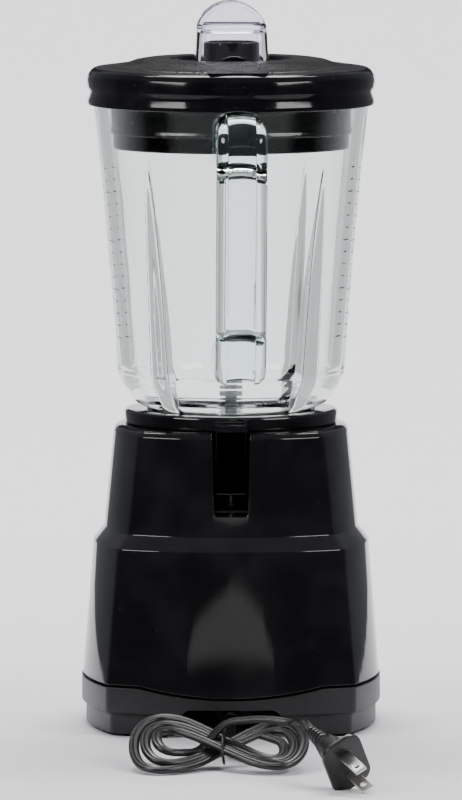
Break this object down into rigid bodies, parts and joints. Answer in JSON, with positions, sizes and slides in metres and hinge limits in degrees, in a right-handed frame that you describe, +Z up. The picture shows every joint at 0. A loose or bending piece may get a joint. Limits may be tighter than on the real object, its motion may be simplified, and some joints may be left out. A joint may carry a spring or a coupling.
{
  "type": "countertop blender",
  "caption": "Countertop blender: clear glass jar with loop handle and black lid on a bowed, stepped black motor base, with a tied cord and mains plug.",
  "frame": {"origin": "on the table under the axis that the motor, the blades and the jar share", "axes": "+Z up along the motor's axis; +Y towards the push buttons; -Y towards the jar's handle and the cord"},
  "size_m": [0.1584, 0.3686, 0.3847],
  "materials": {
    "clear_cap": "clear, faintly violet plastic",
    "jar_glass": "clear, faintly green glass",
    "gloss_black": "glossy black plastic",
    "satin_black": "satin black plastic",
    "seal_rubber": "soft black rubber",
    "gasket_white": "soft white rubber",
    "foot_rubber": "matt rubber",
    "steel": "brushed stainless steel",
    "screw_steel": "zinc plated",
    "lamination": "stacked laminations",
    "bracket_metal": "cast",
    "copper": "enamelled copper wire",
    "bronze": "sintered",
    "carbon": "pressed carbon",
    "brown_plastic": "moulded insulator",
    "panel_grey": "satin",
    "button_grey": "satin grey",
    "button_red": "satin red",
    "switch_plastic": "moulded",
    "board_green": "solder resist",
    "cord_black": "satin black flexible plastic",
    "tie_black": "paper-thin plastic over wire",
    "plated": "plated brass"
  },
  "bodies": {
    "base": {"motor_housing": "gloss_black", "base_pan": "satin_black", "feet": "foot_rubber", "base_screws": "screw_steel", "motor_top_bracket": "bracket_metal", "motor_bottom_bracket": "bracket_metal", "stator_core": "lamination", "field_coils": "copper", "upper_bearing": "steel", "lower_bearing": "steel", "brush_holders": "brown_plastic", "carbon_brushes": "carbon", "brush_springs": "steel", "motor_mounts": "foot_rubber", "motor_spacers": "bracket_metal", "motor_bolts": "screw_steel", "mount_screws": "screw_steel", "control_panel": "panel_grey", "switch_body": "switch_plastic", "circuit_board": "board_green", "strain_relief": "cord_black", "cord_clamp": "switch_plastic", "power_cord": "cord_black", "cord_hank": "cord_black", "cord_tail": "cord_black", "cord_tie": "tie_black", "plug_body": "cord_black", "plug_blades": "plated"},
    "rotor": {"motor_shaft": "steel", "armature_core": "lamination", "armature_windings": "copper", "commutator": "copper", "cooling_fan": "satin_black", "drive_coupling": "satin_black", "shaft_slinger": "seal_rubber"},
    "jar_base": {"jar_collar": "satin_black", "jar_gasket": "gasket_white", "blade_base": "steel", "blade_bearing": "bronze", "shaft_seal": "seal_rubber"},
    "blades": {"blade_spindle": "steel", "lower_blade": "steel", "upper_blade": "steel", "blade_washer": "steel", "blade_nut": "steel", "blade_coupling": "satin_black"},
    "jar": {"jar": "jar_glass"},
    "lid": {"lid": "gloss_black", "lid_seal": "seal_rubber"},
    "cap": {"filler_cap": "clear_cap"},
    "button_1": {"button_1": "button_red"},
    "button_2": {"button_2": "button_grey"},
    "button_3": {"button_3": "button_grey"},
    "button_4": {"button_4": "button_grey"},
    "button_5": {"button_5": "button_grey"},
    "button_6": {"button_6": "button_grey"},
    "button_7": {"button_7": "button_grey"}
  },
  "joints": [
    {"name": "motor_spin", "type": "hinge", "parent": "base", "child": "rotor", "pos_m": [0, 0, 0.08], "axis": [0, 0, 1], "continuous": true},
    {"name": "jar_lift", "type": "slide", "parent": "base", "child": "jar_base", "axis": [0, 0, 1], "range_m": [0, 0.08]},
    {"name": "blade_spin", "type": "hinge", "parent": "jar_base", "child": "blades", "pos_m": [0, 0, 0.165], "axis": [0, 0, 1], "continuous": true},
    {"name": "jar_twist", "type": "hinge", "parent": "jar_base", "child": "jar", "pos_m": [0, 0, 0.153], "axis": [0, 0, 1], "range_deg": [0, 45]},
    {"name": "lid_lift", "type": "slide", "parent": "jar", "child": "lid", "axis": [0, 0, 1], "range_m": [0, 0.06]},
    {"name": "cap_lift", "type": "slide", "parent": "lid", "child": "cap", "axis": [0, 0, 1], "range_m": [0, 0.05]},
    {"name": "button_1_press", "type": "slide", "parent": "base", "child": "button_1", "axis": [0, -1, 0], "range_m": [0, 0.003], "stiffness_N_per_m": 400},
    {"name": "button_2_press", "type": "slide", "parent": "base", "child": "button_2", "axis": [0, -1, 0], "range_m": [0, 0.003], "stiffness_N_per_m": 400},
    {"name": "button_3_press", "type": "slide", "parent": "base", "child": "button_3", "axis": [0, -1, 0], "range_m": [0, 0.003], "stiffness_N_per_m": 400},
    {"name": "button_4_press", "type": "slide", "parent": "base", "child": "button_4", "axis": [0, -1, 0], "range_m": [0, 0.003], "stiffness_N_per_m": 400},
    {"name": "button_5_press", "type": "slide", "parent": "base", "child": "button_5", "axis": [0, -1, 0], "range_m": [0, 0.003], "stiffness_N_per_m": 400},
    {"name": "button_6_press", "type": "slide", "parent": "base", "child": "button_6", "axis": [0, -1, 0], "range_m": [0, 0.003], "stiffness_N_per_m": 400},
    {"name": "button_7_press", "type": "slide", "parent": "base", "child": "button_7", "axis": [0, -1, 0], "range_m": [0, 0.003], "stiffness_N_per_m": 400}
  ],
  "couplings": [
    {"joint": "blade_spin", "follows": "motor_spin", "ratio": 1}
  ]
}
